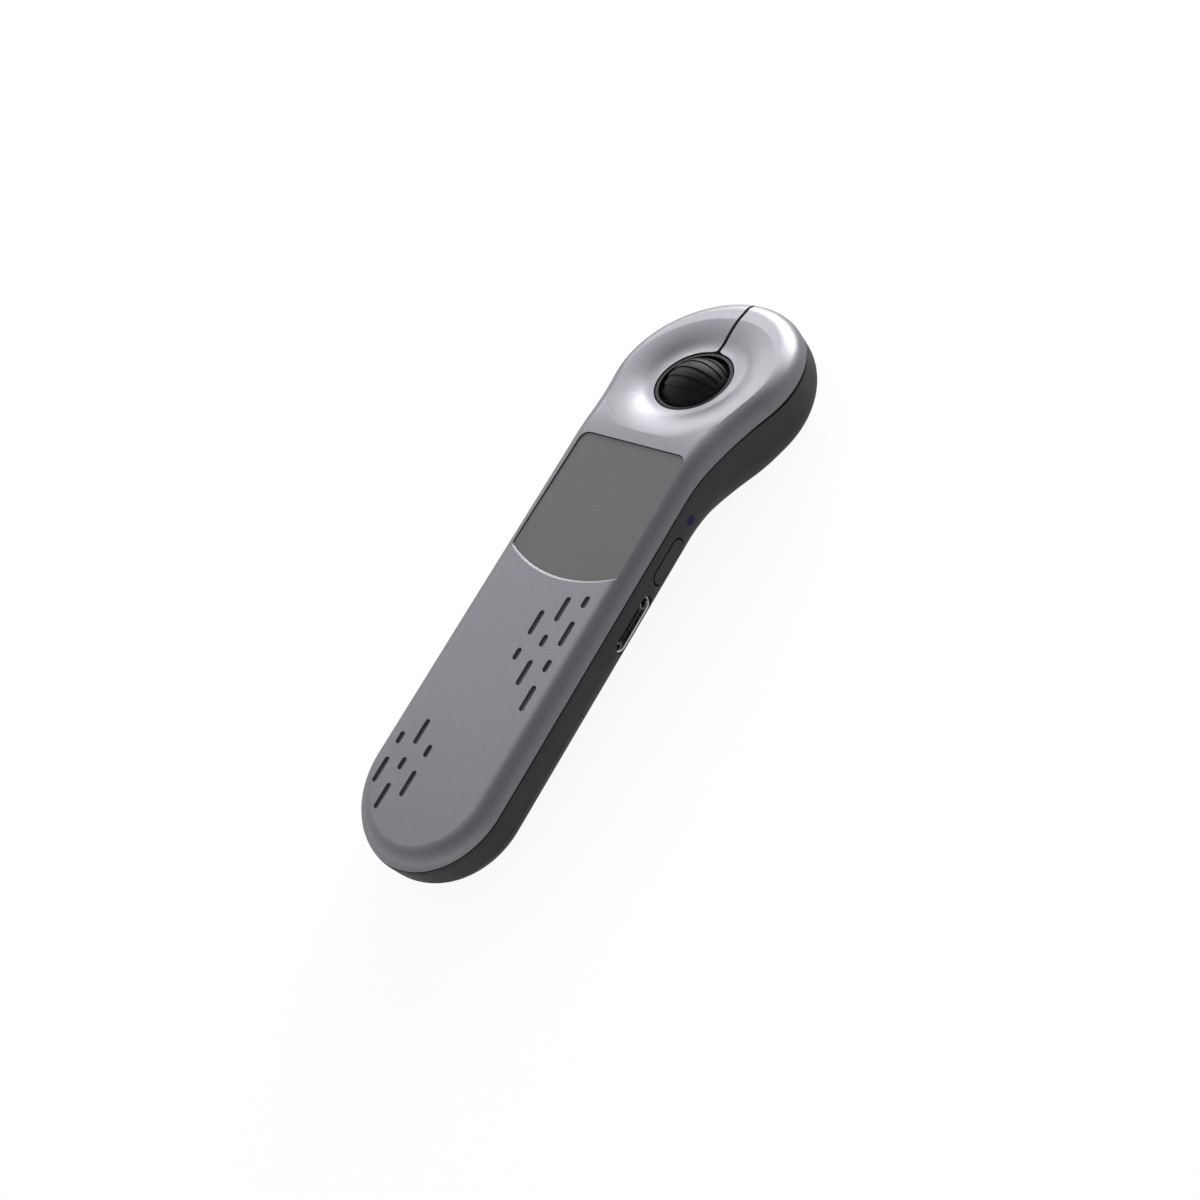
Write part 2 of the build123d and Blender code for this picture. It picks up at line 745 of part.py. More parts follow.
def usb_socket():
    """Rounded metal shell, open at the mouth."""
    shell = side_pill(usb_shell_length, usb_shell_height, usb_back, usb_drop, usb_rear_x, usb_mouth_x)
    length, height = usb_shell_length - 2 * usb_shell_wall, usb_shell_height - 2 * usb_shell_wall
    return shell - side_pill(length, height, usb_back, usb_drop, usb_rear_x + usb_shell_wall, usb_mouth_x)


def usb_tongue():
    """Contact tongue inside the socket."""
    half = usb_tongue_width / 2
    thick = usb_tongue_thick / 2
    x0, x1 = usb_rear_x + usb_shell_wall, usb_mouth_x - usb_tongue_recess
    return block(x0, x1, -usb_back - half, half - usb_back, -usb_drop - thick, thick - usb_drop)


def usb_trim():
    """Thin metal rim before the socket's mouth, sunk in the side wall."""
    outer_x = half_width - usb_trim_recess
    inner_x = outer_x - usb_trim_depth
    rim = side_pill(usb_trim_length, usb_trim_height, usb_back, usb_drop, inner_x, outer_x)
    length, height = usb_trim_length - 2 * usb_trim_wall, usb_trim_height - 2 * usb_trim_wall
    return rim - side_pill(length, height, usb_back, usb_drop, inner_x, outer_x)


def main_board():
    """Board along the handle, on four posts."""
    length = main_board_rear_back - main_board_front_back
    middle = -(main_board_rear_back + main_board_front_back) / 2
    return plate(main_board_width, length, board_corner, 0, middle, main_board_under, main_board_top)


def motion_chip():
    """Motion sensor on the main board."""
    half = motion_chip_size / 2
    x, y = motion_chip_x, -motion_chip_back
    return block(x - half, x + half, y - half, y + half, main_board_top, main_board_top + motion_chip_thick)


def battery():
    """Flat cell on the floor under the main board."""
    top = floor_z + battery_thick
    return plate(battery_width, battery_length, battery_corner, battery_x, -battery_back, floor_z, top)


def speaker():
    """Flat speaker on the main board, with its sunk cone."""
    y = speaker_rear_margin + speaker_length / 2 - main_board_rear_back
    top = main_board_top + speaker_thick
    x, cone_low = speaker_mesh_x, top - speaker_cone_sink
    case = plate(speaker_width, speaker_length, board_corner / 2, x, y, main_board_top, top)
    return case - plate(speaker_cone_width, speaker_cone_length, board_corner, x, y, cone_low, top)


def dust_mesh(size):
    """Thin mesh glued in a pocket under the slots."""
    return mesh_plate(*size, 0, -slot_wall - mesh_thick, -slot_wall)


def microphone():
    """Round capsule on the bay's roof, under the tail's slots."""
    top = -slot_wall - mesh_thick - fit_gap
    return upright(mic_mesh_x + mic_radius, -mic_mesh_back, mic_radius, bay_top, top)


def head_board():
    """Board round the wheel, on four posts, parallel to the head's top."""
    face = Pos(0, head_board_lead) * Circle(head_board_radius)
    length = head_board_front + head_board_rear
    face &= Pos(0, (head_board_front - head_board_rear) / 2) * Rectangle(2 * head_board_radius, length)
    face -= RectangleRounded(head_board_hole_width, head_board_hole_length, board_corner)
    return head_frame * Pos(0, 0, head_board_under) * extrude(face, amount=board_thick)


def standing_switch(x, y, size, height, radius, dip):
    """Square switch on the head board, with a bore that its plunger can dip into."""
    half = size / 2
    top = height - head_board_drop
    bore_depth = plunger_sunk + dip + plunger_room
    body = block(x - half, x + half, y - half, y + half, -head_board_drop, top)
    return head_frame * (body - upright(x, y, radius + slide_gap, top - bore_depth, top))


def key_plunger(side):
    """Plunger between a key's post and its switch."""
    low, high = key_switch_height - head_board_drop - plunger_sunk, -key_plunger_top_drop
    return head_frame * upright(side * key_switch_x, key_switch_ahead, plunger_radius, low, high)


def wheel_plunger():
    """Plunger under the carrier's front bar."""
    low = wheel_switch_height - head_board_drop - plunger_sunk
    return head_frame * upright(0, arm_front_ahead, wheel_plunger_radius, low, -bar_bottom_drop)


def wheel_tyre():
    """Ribbed ball, cut flat at its ends, with grooves that follow its curve."""
    tyre = Rot(0, quarter_turn, 0) * Sphere(wheel_radius)
    tyre &= Box(wheel_length, 2 * wheel_radius, 2 * wheel_radius)
    band = wheel_length - 2 * wheel_rib_margin
    step = 2 * math.pi / wheel_ribs
    width = step * wheel_radius * wheel_groove_share
    blade = Pos(0, 0, wheel_radius / 2) * Box(band, width, wheel_radius)
    blades = [Rot(math.degrees(rib * step), 0, 0) * blade for rib in range(wheel_ribs)]
    core = Rot(0, quarter_turn, 0) * Sphere(wheel_radius - wheel_rib_depth)
    tyre -= [turned - core for turned in blades]
    tyre -= crossways(hub_radius + axle_gap, -wheel_length, wheel_length, 0, 0)
    return head_frame * Pos(0, 0, -wheel_axle_drop) * tyre


def wheel_hub():
    """Core of the wheel, with a thin collar at each end."""
    half = wheel_length / 2
    core = crossways(hub_radius, -half, half, 0, 0)
    core += crossways(2 * axle_radius, -half - hub_flange, half + hub_flange, 0, 0)
    core -= crossways(axle_radius + axle_gap, -span, span, 0, 0)
    return head_frame * Pos(0, 0, -wheel_axle_drop) * core


def wheel_axle():
    """Steel axle from the encoder through both arms."""
    left = -arm_x - arm_thick - encoder_thick / 2
    right = arm_x + arm_thick + axle_end
    return head_frame * crossways(axle_radius, left, right, 0, -wheel_axle_drop)


def wheel_carrier():
    """Two arms and two bars that hold the wheel and tip about the rear pin."""
    start, end = -pivot_back - arm_height / 2, arm_front_ahead + bar_thick / 2
    middle = (start + end) / 2
    outer = arm_x + arm_thick
    face = Plane.YZ * Pos(middle, -arm_middle_drop) * SlotOverall(end - start, arm_height)
    carrier = extrude(face, amount=outer, both=True)
    carrier -= block(-arm_x, arm_x, -span, span, -tall, tall)
    bar_top = bar_height - bar_bottom_drop
    for y in (arm_front_ahead, -rear_bar_back):
        y0, y1 = y - bar_thick / 2, y + bar_thick / 2
        carrier += block(-outer, outer, y0, y1, -bar_bottom_drop, bar_top)
    carrier -= crossways(axle_radius + axle_gap, -span, span, 0, -wheel_axle_drop)
    carrier -= crossways(pivot_radius + axle_gap, -span, span, -pivot_back, -pivot_drop)
    return head_frame * carrier


def pivot_pin():
    """Pin of the wheel carrier, held by the two ears."""
    end = post_x + pivot_post_thick
    return head_frame * crossways(pivot_radius, -end, end, -pivot_back, -pivot_drop)


def wheel_encoder():
    """Encoder on the left arm, round the end of the axle."""
    half = encoder_length / 2
    x1 = -arm_x - arm_thick
    x0 = x1 - encoder_thick
    top = encoder_rise - wheel_axle_drop
    body = block(x0, x1, -half, half, top - encoder_height, top)
    return head_frame * (body - crossways(axle_radius + axle_gap, x0, x1, 0, -wheel_axle_drop))


def laser_barrel():
    """Brass barrel with its aperture, on the saddle behind the nose."""
    front = nose_inside_y - laser_room
    barrel = lengthways(laser_radius, front - laser_length, front, 0, laser_z)
    return barrel - lengthways(laser_aperture_radius, front - laser_aperture_depth, front, 0, laser_z)


def laser_window():
    """Dark window in the nose, trimmed to the casing's curve."""
    return lengthways(laser_window_radius, nose_inside_y, nose_y, 0, laser_z) & body_form


def screw(x, y, under, top):
    """One case screw with a round head."""
    head = upright(x, y, screw_head_radius, under - screw_head_height, under)
    return head + upright(x, y, screw_radius, under, top)


def case_screws():
    """The four case screws, as separate solids."""
    top = screw_bite - boss_meet_drop - fit_gap
    neck = [screw(x, y, ramp_height(-y) + screw_recess, top) for x, y in neck_screws]
    return Compound(children=neck + [screw(x, y, door_under, top) for x, y in tail_screws])


def bay_magnet():
    """Magnet on the bay's roof that holds the receiver's shell."""
    return upright(magnet_x, usb_a_y + magnet_ahead, magnet_radius, bay_top, bay_top + magnet_thick)


def receiver_body():
    """Moulded middle of the receiver."""
    centre = Pos(0, receiver_body_y + receiver_body_length / 2, receiver_z)
    body = Box(receiver_body_width, receiver_body_length, receiver_body_thick)
    return centre * fillet(body.edges().filter_by(Axis.Y), receiver_body_round)


def tube_y(face, hole, y0, y1):
    """Upright outline run along Y, with a hole through it."""
    return Pos(0, y1, receiver_z) * extrude(Plane.XZ * (face - hole), amount=y1 - y0)


def receiver_usb_a():
    """Larger plug shell, open at its end, with its four latch windows."""
    face = RectangleRounded(usb_a_width, usb_a_thick, usb_a_round)
    hole = Rectangle(usb_a_width - 2 * usb_a_wall, usb_a_thick - 2 * usb_a_wall)
    shell = tube_y(face, hole, usb_a_y, receiver_front_y)
    y = usb_a_y + usb_a_window_ahead
    half = usb_a_window / 2
    for x in (-usb_a_window_x, usb_a_window_x):
        shell -= block(x - half, x + half, y - half, y + half, -tall, tall)
    return shell


def receiver_usb_a_tongue():
    """Contact tongue inside the larger plug."""
    half = usb_a_width / 2 - usb_a_wall
    low = receiver_z - usb_a_thick / 2 + usb_a_wall
    return block(-half, half, usb_a_y, receiver_front_y - usb_a_tongue_recess, low, low + usb_a_tongue_thick)


def receiver_usb_c():
    """Smaller rounded plug shell, open at its end."""
    face = SlotOverall(usb_c_width, usb_c_thick)
    hole = SlotOverall(usb_c_width - 2 * usb_c_wall, usb_c_thick - 2 * usb_c_wall)
    return tube_y(face, hole, receiver_rear_y, receiver_body_y)


upper_shell = cover_shell()
key_size = switch_size, key_switch_height, plunger_radius, key_dip
parts = {
    "base_shell": base_shell(),
    "top_cover": top_cover(upper_shell),
    "left_key": key(upper_shell, -1),
    "right_key": key(upper_shell, 1),
    "left_plunger": key_plunger(-1),
    "right_plunger": key_plunger(1),
    "left_switch": standing_switch(-key_switch_x, key_switch_ahead, *key_size),
    "right_switch": standing_switch(key_switch_x, key_switch_ahead, *key_size),
    "touch_panel": touch_panel(),
    "touch_board": touch_board(),
    "tail_door": tail_door(),
    "status_light": status_light(),
    "side_button": side_button(),
    "side_plunger": side_plunger(),
    "side_switch": side_switch(),
    "usb_socket": usb_socket(),
    "usb_tongue": usb_tongue(),
    "usb_trim": usb_trim(),
    "main_board": main_board(),
    "motion_chip": motion_chip(),
    "battery": battery(),
    "speaker": speaker(),
    "speaker_mesh": dust_mesh(speaker_mesh_size),
    "microphone": microphone(),
    "microphone_mesh": dust_mesh(mic_mesh_size),
    "head_board": head_board(),
    "wheel_switch": standing_switch(
        0, arm_front_ahead, wheel_switch_size, wheel_switch_height, wheel_plunger_radius, wheel_dip
    ),
    "wheel_plunger": wheel_plunger(),
    "wheel_bezel": wheel_bezel(),
    "wheel_tyre": wheel_tyre(),
    "wheel_hub": wheel_hub(),
    "wheel_axle": wheel_axle(),
    "wheel_carrier": wheel_carrier(),
    "pivot_pin": pivot_pin(),
    "wheel_encoder": wheel_encoder(),
    "laser_barrel": laser_barrel(),
    "laser_window": laser_window(),
    "case_screws": case_screws(),
    "bay_magnet": bay_magnet(),
    "receiver_body": receiver_body(),
    "receiver_usb_a": receiver_usb_a(),
    "receiver_usb_a_tongue": receiver_usb_a_tongue(),
    "receiver_usb_c": receiver_usb_c(),
}

# The part lies on a table: tilted about X, centred, and lifted to stand on zero height.
tilt = Rot(math.degrees(rest_tilt), 0, 0)
box = (tilt * body_form).bounding_box()
to_rest = Pos(-box.center().X, -box.center().Y, -box.min.Z) * tilt

os.makedirs("parts", exist_ok=True)
for name, shape in parts.items():
    export_step(to_rest * shape, f"parts/{name}.step")

anchors = {
    "key hinge": head_frame * Pos(0, -key_hinge_back, -head_seam_drop),
    "wheel axle": head_frame * Pos(0, 0, -wheel_axle_drop),
    "carrier pivot": head_frame * Pos(0, -pivot_back, -pivot_drop),
    "usb mouth": Pos(half_width - usb_trim_recess, -usb_back, -usb_drop),
    "head underside": Pos(0, 0, -belly_low),
}
for name, place in anchors.items():
    at = (to_rest * place).position
    print(f"{name}: {at.X:.3f} {at.Y:.3f} {at.Z:.3f} mm")
print(f"rest tilt: {math.degrees(rest_tilt):.4f} degrees")
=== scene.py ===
import json
import math

import bpy
from mathutils import Matrix, Vector


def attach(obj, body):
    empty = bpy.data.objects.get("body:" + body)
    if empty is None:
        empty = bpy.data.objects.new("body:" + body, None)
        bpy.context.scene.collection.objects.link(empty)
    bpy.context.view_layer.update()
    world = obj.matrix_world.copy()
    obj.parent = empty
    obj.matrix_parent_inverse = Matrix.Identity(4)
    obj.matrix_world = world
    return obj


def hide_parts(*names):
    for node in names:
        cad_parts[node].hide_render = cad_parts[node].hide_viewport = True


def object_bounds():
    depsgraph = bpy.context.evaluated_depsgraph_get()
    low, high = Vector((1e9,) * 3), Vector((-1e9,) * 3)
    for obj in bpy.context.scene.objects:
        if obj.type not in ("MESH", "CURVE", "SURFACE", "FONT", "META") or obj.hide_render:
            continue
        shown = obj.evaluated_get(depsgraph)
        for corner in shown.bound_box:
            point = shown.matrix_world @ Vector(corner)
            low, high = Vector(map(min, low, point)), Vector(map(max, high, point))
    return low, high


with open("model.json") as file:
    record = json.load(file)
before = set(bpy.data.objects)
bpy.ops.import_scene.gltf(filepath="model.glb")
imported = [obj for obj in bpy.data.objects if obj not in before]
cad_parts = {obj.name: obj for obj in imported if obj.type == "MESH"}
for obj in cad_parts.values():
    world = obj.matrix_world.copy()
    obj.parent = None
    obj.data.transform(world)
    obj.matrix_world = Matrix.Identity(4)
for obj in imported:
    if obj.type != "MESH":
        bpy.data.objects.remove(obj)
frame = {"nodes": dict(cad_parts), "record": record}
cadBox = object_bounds()
nodes = frame["nodes"]
scene = bpy.context.scene
mm = 0.001
print("frame loaded:", len(nodes), "nodes")


# Helpers for colours, node trees and meshes

def linear(hexText, alpha=1.0):
    channels = [int(hexText[i:i + 2], 16) / 255 for i in (1, 3, 5)]
    return [c / 12.92 if c <= 0.04045 else ((c + 0.055) / 1.055) ** 2.4 for c in channels] + [alpha]


def addNode(tree, kind, settings=None, links=None):
    node = tree.nodes.new(kind)
    for name, value in (settings or {}).items():
        if isinstance(name, int) or name in node.inputs:
            node.inputs[name].default_value = value
        else:
            setattr(node, name, value)
    for name, socket in (links or {}).items():
        tree.links.new(socket, node.inputs[name])
    return node


def perMm(sizeMm):  # texture scale whose features are about this size
    return 1000.0 / sizeMm


def newMaterial(name, shaderSettings):
    material = bpy.data.materials.new(name)
    material.use_nodes = True
    tree = material.node_tree
    tree.nodes.clear()
    shader = addNode(tree, "ShaderNodeBsdfPrincipled", shaderSettings)
    addNode(tree, "ShaderNodeOutputMaterial", links={"Surface": shader.outputs["BSDF"]})
    place = addNode(tree, "ShaderNodeTexCoord").outputs["Object"]
    return material, tree, shader, place


noiseSpan = {"low": 0.3, "high": 0.7}  # where most of a noise lies


def grade(tree, socket, low, high):  # stretches a noise over a range
    span = {1: noiseSpan["low"], 2: noiseSpan["high"], 3: low, 4: high}
    return addNode(tree, "ShaderNodeMapRange", span, {0: socket}).outputs[0]


def tint(tree, socket, dark, light):  # blends two colours by a noise
    share = grade(tree, socket, 0.0, 1.0)
    mix = addNode(tree, "ShaderNodeMix", {"data_type": "RGBA"}, {0: share})
    mix.inputs[6].default_value = linear(dark)
    mix.inputs[7].default_value = linear(light)
    return mix.outputs[2]


def noise(tree, place, sizeMm, detail=2.0, stretch=(1, 1, 1)):
    mapped = addNode(tree, "ShaderNodeMapping", {"Scale": stretch}, {"Vector": place})
    texture = addNode(
        tree, "ShaderNodeTexNoise", {"Scale": perMm(sizeMm), "Detail": detail}, {"Vector": mapped.outputs[0]}
    )
    return texture.outputs[0]


edgeLook = {"mouldedMm": 0.12, "samples": 4}


def bump(tree, shader, height, depthMm, edgeMm=edgeLook["mouldedMm"]):  # edges look rounded by edgeMm
    edge = addNode(tree, "ShaderNodeBevel", {"Radius": edgeMm * mm, "samples": edgeLook["samples"]})
    node = addNode(tree, "ShaderNodeBump", {"Strength": 1.0, "Distance": depthMm * mm}, {
        "Height": height, "Normal": edge.outputs[0],
    })
    tree.links.new(node.outputs[0], shader.inputs["Normal"])


# Materials

silverLook = {
    "dark": "#818287", "light": "#8c8d92", "flakeMm": 0.22, "peelMm": 1.1, "peelDepthMm": 0.003,
    "metallic": 0.82, "roughLow": 0.38, "roughHigh": 0.46, "coat": 0.2, "coatRough": 0.22, "edgeMm": 0.04,
}


# Metallic lacquer sprayed on ABS: flakes glint, and the coat has a faint orange peel.
# The flakes are drawn coarser than real ones, so that they show.
def silverLacquer(look):
    material, tree, shader, place = newMaterial("silver_lacquer_on_abs", {
        "Metallic": look["metallic"], "Coat Weight": look["coat"], "Coat Roughness": look["coatRough"],
    })
    flakes = noise(tree, place, look["flakeMm"], detail=3.0)
    tree.links.new(tint(tree, flakes, look["dark"], look["light"]), shader.inputs["Base Color"])
    tree.links.new(grade(tree, flakes, look["roughHigh"], look["roughLow"]), shader.inputs["Roughness"])
    peel = noise(tree, place, look["peelMm"], detail=1.0)
    bump(tree, shader, peel, look["peelDepthMm"], look["edgeMm"])
    return material


def mouldedPlastic(look):  # moulded plastic or rubber: a fine grain from the tool, a little uneven in sheen
    material, tree, shader, place = newMaterial(look["name"], {"IOR": look["ior"], "Metallic": 0.0})
    grain = noise(tree, place, look["grainMm"], detail=3.0)
    tree.links.new(tint(tree, grain, look["dark"], look["light"]), shader.inputs["Base Color"])
    sheen = noise(tree, place, look["sheenMm"])
    tree.links.new(grade(tree, sheen, look["roughLow"], look["roughHigh"]), shader.inputs["Roughness"])
    bump(tree, shader, grain, look["grainDepthMm"])
    return material


shellLook = {
    "name": "spark_textured_abs", "dark": "#2a2a2a", "light": "#333333", "grainMm": 0.3,
    "grainDepthMm": 0.012, "sheenMm": 9.0, "roughLow": 0.5, "roughHigh": 0.6, "ior": 1.46,
}
panelLook = {
    "name": "hard_coated_polycarbonate", "dark": "#626263", "light": "#6c6c6d", "grainMm": 0.25,
    "grainDepthMm": 0.003, "sheenMm": 14.0, "roughLow": 0.42, "roughHigh": 0.5, "ior": 1.58,
}
bezelLook = {
    "name": "satin_polycarbonate", "dark": "#161617", "light": "#1c1c1d", "grainMm": 0.25,
    "grainDepthMm": 0.003, "sheenMm": 4.0, "roughLow": 0.4, "roughHigh": 0.5, "ior": 1.3,
}
buttonLook = {
    "name": "satin_abs", "dark": "#292929", "light": "#313131", "grainMm": 0.25, "grainDepthMm": 0.004,
    "sheenMm": 4.0, "roughLow": 0.42, "roughHigh": 0.52, "ior": 1.46,
}
rubberLook = {
    "name": "moulded_silicone_rubber", "dark": "#0c0c0c", "light": "#141414", "grainMm": 0.3,
    "grainDepthMm": 0.004, "sheenMm": 3.0, "roughLow": 0.46, "roughHigh": 0.58, "ior": 1.3,
}
nylonLook = {
    "name": "moulded_nylon", "dark": "#1d1d1e", "light": "#262627", "grainMm": 0.4, "grainDepthMm": 0.006,
    "sheenMm": 5.0, "roughLow": 0.42, "roughHigh": 0.55, "ior": 1.53,
}
tongueLook = {
    "name": "glass_filled_polymer", "dark": "#0f0f10", "light": "#18181a", "grainMm": 0.2,
    "grainDepthMm": 0.004, "sheenMm": 3.0, "roughLow": 0.4, "roughHigh": 0.5, "ior": 1.6,
}


def drawnMetal(look):  # plated, turned or rolled metal: fine lines along the way it was worked
    material, tree, shader, place = newMaterial(look["name"], {"Metallic": 1.0})
    lines = noise(tree, place, look["lineMm"], stretch=look["stretch"])
    tree.links.new(tint(tree, lines, look["dark"], look["light"]), shader.inputs["Base Color"])
    tree.links.new(grade(tree, lines, look["roughLow"], look["roughHigh"]), shader.inputs["Roughness"])
    bump(tree, shader, lines, look["lineDepthMm"], look["edgeMm"])
    return material


platedLook = {
    "name": "nickel_plated_steel", "dark": "#cfd0d0", "light": "#e4e4e3", "lineMm": 0.2,
    "stretch": (1, 0.08, 1), "lineDepthMm": 0.001, "roughLow": 0.26, "roughHigh": 0.36, "edgeMm": 0.08,
}
steelLook = {
    "name": "turned_steel", "dark": "#8d8f92", "light": "#a9abad", "lineMm": 0.2, "stretch": (1, 1, 0.1),
    "lineDepthMm": 0.002, "roughLow": 0.24, "roughHigh": 0.36, "edgeMm": 0.08,
}
brassLook = {
    "name": "turned_brass", "dark": "#a98a4c", "light": "#c4a566", "lineMm": 0.2, "stretch": (1, 0.1, 1),
    "lineDepthMm": 0.002, "roughLow": 0.2, "roughHigh": 0.32, "edgeMm": 0.08,
}
pouchLook = {
    "name": "laminated_aluminium_foil", "dark": "#a5a7ab", "light": "#bfc1c4", "lineMm": 2.0,
    "stretch": (1, 0.4, 1), "lineDepthMm": 0.02, "roughLow": 0.3, "roughHigh": 0.42, "edgeMm": 0.08,
}
goldLook = {
    "name": "gold_plated_copper", "dark": "#c09a4a", "light": "#d6b466", "lineMm": 0.2,
    "stretch": (0.1, 1, 1), "lineDepthMm": 0.001, "roughLow": 0.2, "roughHigh": 0.3, "edgeMm": 0.08,
}
maskLook = {"dark": "#123a24", "light": "#1b5233", "trackMm": 1.2, "roughness": 0.32, "trackDepthMm": 0.02}


def solderMask(look):  # lacquer over etched copper: tracks show as paler, slightly raised cells
    material, tree, shader, place = newMaterial("solder_mask_on_glass_fibre", {
        "Roughness": look["roughness"],
    })
    cells = addNode(tree, "ShaderNodeTexVoronoi", {
        "Scale": perMm(look["trackMm"]), "distance": "MANHATTAN",
    }, {"Vector": place})
    tree.links.new(tint(tree, cells.outputs[0], look["dark"], look["light"]), shader.inputs["Base Color"])
    bump(tree, shader, cells.outputs[0], look["trackDepthMm"])
    return material


meshLook = {
    "dark": "#5e5e5f", "light": "#868687", "threadMm": 0.4343, "roughness": 0.8, "threadDepthMm": 0.05,
}
bandsPerUnit = 20 / (2 * math.pi)  # of a wave texture at scale 1


# Woven polyester dust mesh: crossed grey threads, wider apart than real ones so that they show
def wovenMesh(look):
    material, tree, shader, place = newMaterial("woven_polyester_mesh", {"Roughness": look["roughness"]})
    wave = {"Scale": perMm(look["threadMm"]) / bandsPerUnit, "wave_type": "BANDS"}
    along = addNode(tree, "ShaderNodeTexWave", {**wave, "bands_direction": "X"}, {"Vector": place})
    across = addNode(tree, "ShaderNodeTexWave", {**wave, "bands_direction": "Y"}, {"Vector": place})
    weave = addNode(
        tree, "ShaderNodeMath", {"operation": "MAXIMUM"}, {0: along.outputs["Fac"], 1: across.outputs["Fac"]}
    )
    tree.links.new(tint(tree, weave.outputs[0], look["dark"], look["light"]), shader.inputs["Base Color"])
    bump(tree, shader, weave.outputs[0], look["threadDepthMm"])
    return material


lightLook = {
    "name": "moulded_blue_acrylic", "dark": "#0a184c", "light": "#0e205e", "swirlMm": 0.8,
    "roughness": 0.35, "ior": 1.25,
}
laserLook = {
    "name": "tinted_acrylic_window", "dark": "#140304", "light": "#240608", "swirlMm": 0.8,
    "roughness": 0.06, "ior": 1.49,
}


def tintedLens(look):  # moulded acrylic, polished or satin, with a soft swirl of colour
    material, tree, shader, place = newMaterial(look["name"], {
        "Roughness": look["roughness"], "IOR": look["ior"],
    })
    swirl = noise(tree, place, look["swirlMm"], detail=1.0)
    tree.links.new(tint(tree, swirl, look["dark"], look["light"]), shader.inputs["Base Color"])
    return material


materials = {
    "painted_silver": silverLacquer(silverLook),
    "charcoal_shell": mouldedPlastic(shellLook),
    "panel_grey": mouldedPlastic(panelLook),
    "bezel_grey": mouldedPlastic(bezelLook),
    "button_black": mouldedPlastic(buttonLook),
    "wheel_rubber": mouldedPlastic(rubberLook),
    "inner_plastic": mouldedPlastic(nylonLook),
    "contact_tongue": mouldedPlastic(tongueLook),
    "circuit_board": solderMask(maskLook),
    "dust_mesh": wovenMesh(meshLook),
    "plated_steel": drawnMetal(platedLook),
    "axle_steel": drawnMetal(steelLook),
    "cell_pouch": drawnMetal(pouchLook),
    "laser_brass": drawnMetal(brassLook),
    "contact_gold": drawnMetal(goldLook),
    "tinted_lens": tintedLens(laserLook),
    "light_lens": tintedLens(lightLook),
}
for part in frame["record"]["subparts"]:
    for materialSlot in nodes[part["node"]].material_slots:
        materialSlot.material = materials[part["material_slot"]]
print("materials:", len(materials))


# Pieces that repeat: the case screws and the plugs' contact strips, laid out square to the handle

doorJoint = next(j for j in frame["record"]["behaviour"]["joints"] if j["name"] == "door_release")
handleTilt = math.asin(doorJoint["axis"][1])
toHandle = Matrix.Rotation(-handleTilt, 3, "X")


def handlePoints(node):
    return [toHandle @ vertex.co for vertex in nodes[node].data.vertices]


def extent(points):
    low = Vector([min(p[i] for p in points) for i in range(3)])
    high = Vector([max(p[i] for p in points) for i in range(3)])
    return low, high


def newTree(name, sockets):
    tree = bpy.data.node_groups.new(name, "GeometryNodeTree")
    tree.interface.new_socket("Geometry", in_out="INPUT", socket_type="NodeSocketGeometry")
    for label, kind in sockets.items():
        tree.interface.new_socket(label, in_out="INPUT", socket_type="NodeSocket" + kind)
    tree.interface.new_socket("Geometry", in_out="OUTPUT", socket_type="NodeSocketGeometry")
    return tree, addNode(tree, "NodeGroupInput").outputs


def closeTree(tree, geometry, inputs):  # turns the result to the handle's tilt and makes it a plain mesh
    turn = addNode(tree, "ShaderNodeCombineXYZ", links={0: inputs["Tilt"]})
    turned = addNode(tree, "GeometryNodeTransform", links={"Geometry": geometry, "Rotation": turn.outputs[0]})
    plain = addNode(tree, "GeometryNodeRealizeInstances", links={0: turned.outputs[0]})
    coated = addNode(tree, "GeometryNodeSetMaterial", links={
        0: plain.outputs[0], "Material": inputs["Material"],
    })
    addNode(tree, "NodeGroupOutput", links={0: coated.outputs[0]})


def grow(name, mesh, tree, values):  # runs a tree on a mesh and keeps the result as an object
    holder = bpy.data.objects.new(name + "_seed", mesh)
    scene.collection.objects.link(holder)
    modifier = holder.modifiers.new("grow", "NODES")
    modifier.node_group = tree
    for item in tree.interface.items_tree:
        if item.in_out == "INPUT" and item.name in values:
            modifier[item.identifier] = values[item.name]
    bpy.context.view_layer.update()
    seen = holder.evaluated_get(bpy.context.evaluated_depsgraph_get())
    plain = bpy.data.meshes.new_from_object(seen)
    holder.modifiers.remove(modifier)
    bpy.data.objects.remove(holder)
    piece = bpy.data.objects.new(name, plain)
    scene.collection.objects.link(piece)
    return piece


screwLook = {
    "headRadiusMm": 1.8, "headHeightMm": 1.1, "shankRadiusMm": 0.9, "crossMm": 2.2, "slotMm": 0.5,
    "sunkMm": 0.6, "headSides": 48, "shankSides": 32,
}


